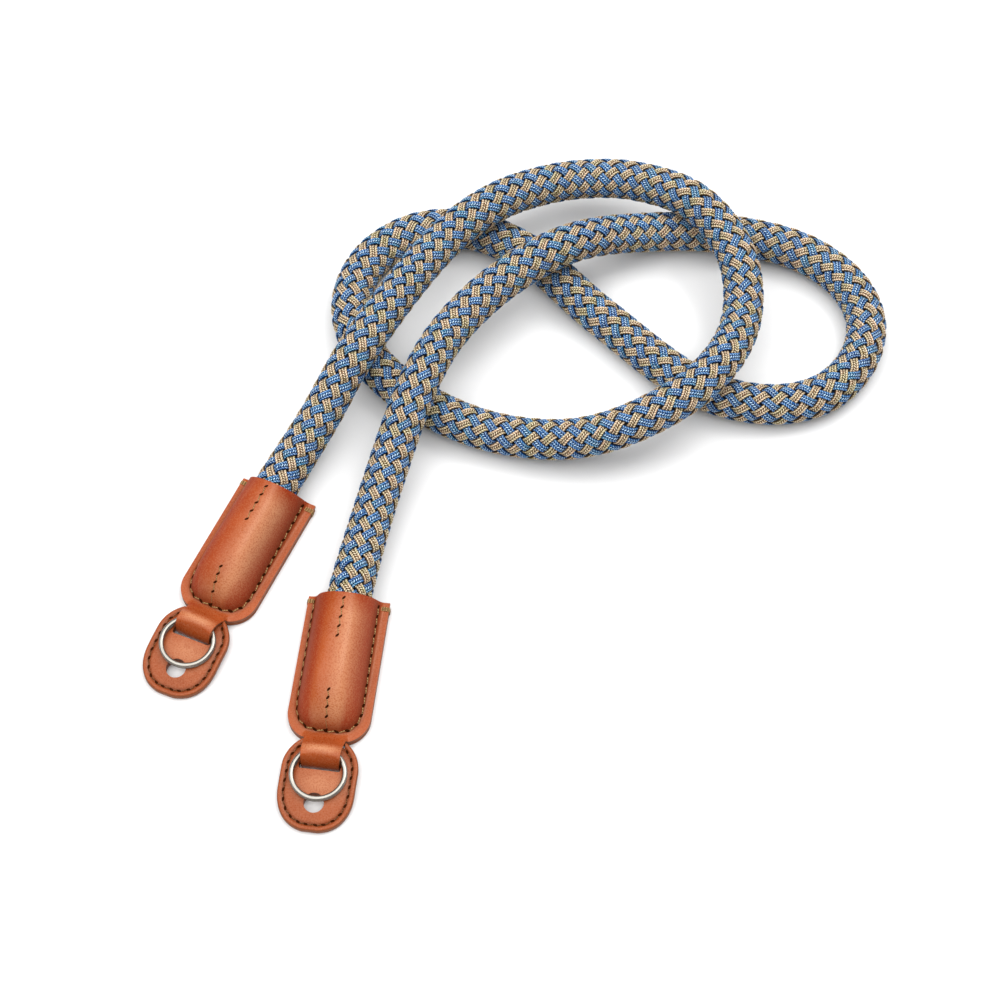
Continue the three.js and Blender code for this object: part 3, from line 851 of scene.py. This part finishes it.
flap_x = flap_edge(flap_along)[:, None] * flap_across[None]
flap_y = np.repeat(flap_along[:, None], flap_cols + 1, 1)
flap_z, flap_inset = flap_top(flap_x, flap_y)
bpy.ops.object.select_all(action="DESELECT")
bpy.ops.mesh.primitive_grid_add(x_subdivisions=flap_cols, y_subdivisions=flap_rows, size=1)
flap = bpy.context.object
bpy.ops.object.mode_set(mode="EDIT")
bpy.ops.mesh.select_all(action="SELECT")
bpy.ops.mesh.extrude_region_move(TRANSFORM_OT_translate={"value": (0, 0, -1)})
bpy.ops.object.mode_set(mode="OBJECT")
points = len(flap.data.vertices)
seam_shade, highlight_share = np.zeros(points), np.zeros(points)
for n, corner in enumerate(flap.data.vertices):
    j = round((corner.co.x + 0.5) * flap_cols)
    i = round((0.5 - corner.co.y) * flap_rows)
    x, y = flap_x[i, j], flap_y[i, j]
    if corner.co.z > -0.5:
        level = flap_z[i, j]
        # Painted shade along the flap's seam groove.
        seam_shade[n] = math.exp(-(((flap_inset[i, j] - flap_seam_inset) / 0.6) ** 2))
    else:
        level = flap_under(y) + rim_drop(flap_inset[i, j], flap_under_round)
    corner.co = Vector((x, -y, level)) * mm
    # Painted highlight round the flap's middle.
    off_x = (x - flap_highlight["across"]) / flap_highlight["wide"]
    off_y = (y - flap_highlight["along"]) / flap_highlight["long"]
    highlight_share[n] = flap_highlight["highlight_strength"] * math.exp(-(off_x**2) - off_y**2)
carry(flap.data, "seam_shade", seam_shade)
carry(flap.data, "stretched", highlight_share)
carry(flap.data, "flat_sheen", np.full(points, flap_flat_sheen))
bpy.ops.object.mode_set(mode="EDIT")
bpy.ops.mesh.select_all(action="SELECT")
bpy.ops.mesh.normals_make_consistent(inside=False)
bpy.ops.object.mode_set(mode="OBJECT")
for piece_leather in (flap_leather, edge_leather, back_leather):
    flap.data.materials.append(piece_leather)
for face in flap.data.polygons:
    face.material_index = 2 if face.normal.z < -0.6 else 1 if face.normal.z < 0.72 else 0

slot = {"along": 51.45, "wide": 11.4, "long": 2.3, "corner": 0.7}
notch = {"along": 43.2, "wide": 11.6, "long": 4.0}
hole = {"along": 61.9, "radius": 2.75}
punch_tall = 12.0
punch_level = 2.0


def box_punch(shape):
    bpy.ops.object.select_all(action="DESELECT")
    bpy.ops.mesh.primitive_cube_add(size=1, location=(0, -shape["along"] * mm, punch_level * mm))
    punch = bpy.context.object
    punch.scale = (shape["wide"] * mm, shape["long"] * mm, punch_tall * mm)
    bpy.ops.object.transform_apply(location=True, rotation=True, scale=True)
    return punch


slot_punch = box_punch(slot)
bpy.ops.object.mode_set(mode="EDIT")
bpy.ops.mesh.select_all(action="DESELECT")
bpy.ops.object.mode_set(mode="OBJECT")
for edge in slot_punch.data.edges:
    low, high = (slot_punch.data.vertices[v].co for v in edge.vertices)
    edge.select = abs(low.z - high.z) > punch_tall / 2 * mm
bpy.ops.object.mode_set(mode="EDIT")
bpy.ops.mesh.select_mode(type="EDGE")
bpy.ops.mesh.bevel(offset=slot["corner"] * mm, segments=4)
bpy.ops.object.mode_set(mode="OBJECT")
bpy.ops.mesh.primitive_cylinder_add(
    vertices=40,
    radius=hole["radius"] * mm,
    depth=punch_tall * mm,
    location=(0, -hole["along"] * mm, punch_level * mm),
)
hole_punch = bpy.context.object
bpy.ops.object.transform_apply(location=True, rotation=True, scale=True)
notch_punch = box_punch(notch)
for punch in (slot_punch, hole_punch, notch_punch):
    punch.data.materials.append(flap_leather)
    punch.data.materials.append(edge_leather)
    for face in punch.data.polygons:
        face.material_index = 1
    bpy.ops.object.select_all(action="DESELECT")
    flap.select_set(True)
    bpy.context.view_layer.objects.active = flap
    cut = flap.modifiers.new("punch", "BOOLEAN")
    cut.object = punch
    cut.operation = "DIFFERENCE"
    cut.solver = "EXACT"
    bpy.ops.object.modifier_apply(modifier="punch")
    bpy.data.objects.remove(punch)
bpy.ops.object.shade_smooth_by_angle(angle=smooth_below)
lay_at_ends(flap, "flap_leather", ["flap"], with_flap=True)

# Split ring: one bright nickelled wire in two flat turns, one on the other, held under the tab.
# The wire steps from the lower turn to the upper one where the tab hides it.
ring_radius = 7.2
ring_wire_wide = 1.3
ring_wire_tall = 0.92
ring_wire_sides = 18
ring_spin_steps = 110
ring_step = 0.96
ring_centre = 54.0
ring_base = 4.04
ring_tilt = 2.0
ring_ramp = 26.0
ring_first = ring_ramp + 6.0
ring_sweep = 360.0 - ring_first
turns = []
for upper in (False, True):
    turn_start = 360.0 if upper else ring_first
    bpy.ops.object.select_all(action="DESELECT")
    bpy.ops.mesh.primitive_circle_add(
        vertices=ring_wire_sides, radius=0.5, fill_type="NGON", rotation=(math.pi / 2, 0, 0)
    )
    turn = bpy.context.object
    turn.scale = (ring_wire_wide * mm, ring_wire_tall * mm, 1)
    turn.location = (ring_radius * mm, 0, 0)
    bpy.ops.object.transform_apply(location=True, rotation=True, scale=True)
    bpy.ops.object.mode_set(mode="EDIT")
    bpy.ops.mesh.select_mode(type="VERT")
    bpy.ops.mesh.select_all(action="SELECT")
    bpy.ops.mesh.spin(steps=ring_spin_steps, angle=math.radians(ring_sweep), center=(0, 0, 0), axis=(0, 0, 1))
    bpy.ops.mesh.select_all(action="DESELECT")
    bpy.ops.object.mode_set(mode="OBJECT")
    swept = [math.degrees(math.atan2(v.co.y, v.co.x)) % 360 for v in turn.data.vertices]
    swept = [0.0 if s > 359.9 else s for s in swept]
    joined_at = 0.0 if upper else ring_sweep
    for face in turn.data.polygons:
        face.select = all(abs(swept[v] - joined_at) < 0.05 for v in face.vertices)
    bpy.ops.object.mode_set(mode="EDIT")
    bpy.ops.mesh.select_mode(type="FACE")
    bpy.ops.mesh.delete(type="ONLY_FACE")
    bpy.ops.object.mode_set(mode="OBJECT")
    for corner, s in zip(turn.data.vertices, swept):
        climb = min(max((turn_start + s - 360 + ring_ramp) / (2 * ring_ramp), 0), 1)
        corner.co.z += ring_step * smoothed(climb) * mm
    turn.data.transform(Matrix.Rotation(math.radians(90 + turn_start), 4, "Z"))
    turns.append(turn)
bpy.ops.object.select_all(action="DESELECT")
for turn in turns:
    turn.select_set(True)
bpy.context.view_layer.objects.active = turns[0]
bpy.ops.object.join()
ring = bpy.context.object
bpy.ops.object.mode_set(mode="EDIT")
bpy.ops.mesh.select_mode(type="VERT")
bpy.ops.mesh.select_all(action="SELECT")
bpy.ops.mesh.remove_doubles(threshold=0.000004)
bpy.ops.mesh.normals_make_consistent(inside=False)
bpy.ops.object.mode_set(mode="OBJECT")
ring.data.transform(Matrix.Rotation(math.radians(ring_tilt), 4, "X"))
ring.data.transform(Matrix.Translation((0, -ring_centre * mm, ring_base * mm)))
nickel, tree, shader = new_material("bright_nickel")
drawn = {"Vector": object_place(tree), "Scale": (1.0, 1.0, 6.0)}
streak = noise(tree, add_node(tree, "ShaderNodeMapping", drawn).outputs["Vector"], 500.0, 5.0)
nickel_colour = mixed(tree, streak, (0.27, 0.255, 0.225, 1), (0.39, 0.37, 0.33, 1))
tree.links.new(nickel_colour, shader.inputs["Base Color"])
tree.links.new(between(tree, streak, 0.27, 0.37), shader.inputs["Roughness"])
raise_surface(tree, shader, streak, 0.03, 0.00002)
shader.inputs["Metallic"].default_value = 1.0
ring.data.materials.append(nickel)
bpy.ops.object.shade_smooth_by_angle(angle=smooth_below)
lay_at_ends(ring, "ring", ["split_ring"])

# Seams: waxed khaki thread, sewn through slanted slits. One row runs round the sleeve's foot, a short row
# down each end of its middle, and one round the flap, where the thread is coloured darker as painted shade in
# its groove.
# At the mouth's corners the thread is wrapped over the edge.
slit_turn = math.radians(38)
slit_half_long = 0.70
slit_half_wide = 0.34
slit_rings = [{"size": 1.0, "level": -0.12}, {"size": 0.95, "level": 0.09}, {"size": 0.6, "level": 0.15}]
slit_sides = 10
thread_inset = 0.34
thread_rise = 0.36
thread_sink = 0.28
thread_sides = 6
thread_end_taper = 0.55


def sewn_row(points, normals, radius, slit_size):
    """Thread from the end of one slit to the start of the next, and the slits, in millimetres."""
    run = unit(np.gradient(points, axis=0))
    side = unit(np.cross(normals, run))
    slant = math.cos(slit_turn) * run - math.sin(slit_turn) * side
    crosswise = unit(np.cross(normals, slant))
    inset = thread_inset * slit_size * slant
    q = np.linspace(0, 1, 9)[:, None]
    height = thread_rise * (1 - (2 * q - 1) ** 4) - thread_sink
    threads = []
    for i in range(len(points) - 1):
        start, end = points[i] + inset[i], points[i + 1] - inset[i + 1]
        normal = unit(normals[i] * (1 - q) + normals[i + 1] * q)
        threads.append((start * (1 - q) + end * q + normal * height, radius))
    return threads, list(zip(points, slit_size * slant, slit_size * crosswise, normals))


def thread_tubes(name, paths, material):
    """Round thread along each short path, all in one mesh."""
    around = np.linspace(0, 2 * np.pi, thread_sides + 1)[:-1]
    corners, faces, places = [], [], []
    for path, radius in paths:
        run = unit(np.gradient(path, axis=0))
        first = unit(np.cross(run, (0.31, 0.17, 0.93)))
        second = np.cross(run, first)
        taper = np.ones(len(path))
        taper[[0, -1]] = thread_end_taper
        out = np.cos(around)[None, :, None] * first[:, None] + np.sin(around)[None, :, None] * second[:, None]
        base = sum(len(c) for c in corners)
        corners.append((path[:, None] + radius * taper[:, None, None] * out).reshape(-1, 3))
        along = np.repeat(run_length(path), thread_sides)
        places.append(np.stack([along, np.tile(around, len(path))], 1))
        grid = base + np.arange(len(path) * thread_sides).reshape(-1, thread_sides)
        near, far = grid[:-1], grid[1:]
        sides = [near, np.roll(near, -1, 1), np.roll(far, -1, 1), far]
        faces.append(np.stack(sides, -1).reshape(-1, 4))
        faces.append(grid[0][[[3, 2, 1, 0], [5, 4, 3, 0]]])
        faces.append(grid[-1][[[0, 1, 2, 3], [0, 3, 4, 5]]])
    return mesh_piece(name, np.vstack(corners) * mm, np.vstack(faces), material, "thread", np.vstack(places))


def needle_slits(name, slits, material):
    """A slit pulled open by the thread at each place, all in one mesh, near black as painted shade inside the
    hole.
    """
    around = np.linspace(0, 2 * np.pi, slit_sides + 1)[:-1]
    lengthwise = slit_half_long * np.cos(around)[:, None]
    pointed = slit_half_wide * (np.sign(np.sin(around)) * np.abs(np.sin(around)) ** 1.3)[:, None]
    corners, faces = [], []
    for n, (middle, long_way, wide_way, normal) in enumerate(slits):
        flat = lengthwise * long_way + pointed * wide_way
        corners += [middle + ring["size"] * flat + ring["level"] * normal for ring in slit_rings]
        grid = np.arange(len(slit_rings) * slit_sides).reshape(-1, slit_sides)
        grid = grid + n * grid.size
        for low, high in zip(grid[:-1], grid[1:]):
            faces += np.stack([low, np.roll(low, -1), np.roll(high, -1), high], -1).tolist()
        faces.append(grid[-1].tolist())
        faces.append(grid[0][::-1].tolist())
    return mesh_piece(name, np.vstack(corners) * mm, faces, material)


def waxed_thread(name, deep, body):
    """Waxed thread, its plies twisted round it."""
    material, tree, shader = new_material(name)
    thread_map = add_node(tree, "ShaderNodeUVMap", uv_map="thread").outputs["UV"]
    split = add_node(tree, "ShaderNodeSeparateXYZ", {"Vector": thread_map})
    ply = sums(tree, "SINE", sums(tree, "MULTIPLY_ADD", split.outputs["X"], 9.0, split.outputs["Y"]))
    ply = sums(tree, "MULTIPLY_ADD", ply, 0.5, 0.5)
    tree.links.new(mixed(tree, ply, deep, body), shader.inputs["Base Color"])
    raise_surface(tree, shader, ply, 0.6, 0.0001)
    shader.inputs["Roughness"].default_value = 0.55
    shader.inputs["Specular IOR Level"].default_value = 0.15
    return material


sleeve_thread = waxed_thread("waxed_thread", (0.10, 0.045, 0.013, 1), (0.52, 0.32, 0.13, 1))
# The flap's thread is coloured darker: painted shade where it sinks into the groove.
flap_thread = waxed_thread("sunk_thread_shade", (0.055, 0.014, 0.003, 1), (0.20, 0.070, 0.018, 1))
# Near-black colour for the slits: painted shade inside the needle holes.
slit_shade, tree, shader = new_material("slit_shade")
fleck = noise(tree, object_place(tree), 1500.0)
slit_colour = mixed(tree, fleck, (0.020, 0.004, 0.0008, 1), (0.050, 0.012, 0.003, 1))
tree.links.new(slit_colour, shader.inputs["Base Color"])
shader.inputs["Roughness"].default_value = 0.9
shader.inputs["Specular IOR Level"].default_value = 0.0

# Sleeve seams: a row round the foot, a finer one at each end of the middle, and three wraps at each corner.
seam_stitches = {"slits": 31, "thread": 0.20, "slit_size": 1.35}
middle_stitches = {"slits": 5, "thread": 0.13, "slit_size": 1.0}
tack_rows = (1.35, 1.79, 2.23)
tack_thread = 0.2
tilt_reach = 0.3


def on_sleeve(plan):
    """Places on the sleeve's outside, and which way is out there."""
    x, y = plan[:, 0], plan[:, 1]
    right, left = (looked_up(sleeve_heights, x + off, y) for off in (tilt_reach, -tilt_reach))
    down, up = (looked_up(sleeve_heights, x, y + off) for off in (tilt_reach, -tilt_reach))
    slope_x, slope_y = (right - left) / (2 * tilt_reach), (up - down) / (2 * tilt_reach)
    normals = unit(np.stack([-slope_x, -slope_y, np.ones(len(plan))], 1))
    return np.stack([x, -y, looked_up(sleeve_heights, x, y)], 1), normals


seam = seam_plan(seam_stitches["slits"])
threads, slits = sewn_row(*on_sleeve(seam), seam_stitches["thread"], seam_stitches["slit_size"])
for first, last in middle_rows:
    row = np.linspace((0, first), (0, last), middle_stitches["slits"])
    more = sewn_row(*on_sleeve(row), middle_stitches["thread"], middle_stitches["slit_size"])
    threads += more[0]
    slits += more[1]
for corner, sign in zip(seam[[0, -1], 0], (-1, 1)):
    wrap_plan = [
        (corner - 0.1 * sign, 2.2), (corner + 0.2 * sign, 2.60), (corner + 1.0 * sign, 2.66),
        (11.05 * sign, 2.62), (11.48 * sign, 2.32), (11.52 * sign, 1.3), (11.44 * sign, 0.36),
        (10.7 * sign, 0.22),
    ]
    for along in tack_rows:
        threads.append((smooth_path([(x, -along, z) for x, z in wrap_plan], 20), tack_thread))
lay_at_ends(thread_tubes("sleeve_thread", threads, sleeve_thread), "sleeve_thread")
lay_at_ends(needle_slits("sleeve_slits", slits, slit_shade), "sleeve_slits")

# Flap seam: one row that follows the rim and stops on both sides of the tab.
flap_stitch = 2.65
flap_row_start = 46.2
flap_stitches = {"thread": 0.17, "slit_size": 1.4}
along_rim = unit(np.gradient(flap_outline, axis=0))
flap_row = flap_outline + flap_seam_inset * np.stack([along_rim[:, 1], -along_rim[:, 0]], 1)
flap_row = flap_row[flap_row[:, 1] > flap_row_start]
flap_row = evenly(flap_row, int(round(run_length(flap_row)[-1] / flap_stitch)) + 1)
flap_level, _ = flap_top(flap_row[:, 0], flap_row[:, 1])
flap_tilt = flap_under(flap_row[:, 1] + tilt_reach) - flap_under(flap_row[:, 1] - tilt_reach)
flap_tilt = flap_tilt / (2 * tilt_reach)
flap_normals = unit(np.stack([0 * flap_tilt, flap_tilt, np.ones(len(flap_tilt))], 1))
flap_places = np.stack([flap_row[:, 0], -flap_row[:, 1], flap_level], 1)
threads, slits = sewn_row(flap_places, flap_normals, flap_stitches["thread"], flap_stitches["slit_size"])
lay_at_ends(thread_tubes("flap_thread", threads, flap_thread), "flap_thread", with_flap=True)
lay_at_ends(needle_slits("flap_slits", slits, slit_shade), "flap_slits", with_flap=True)
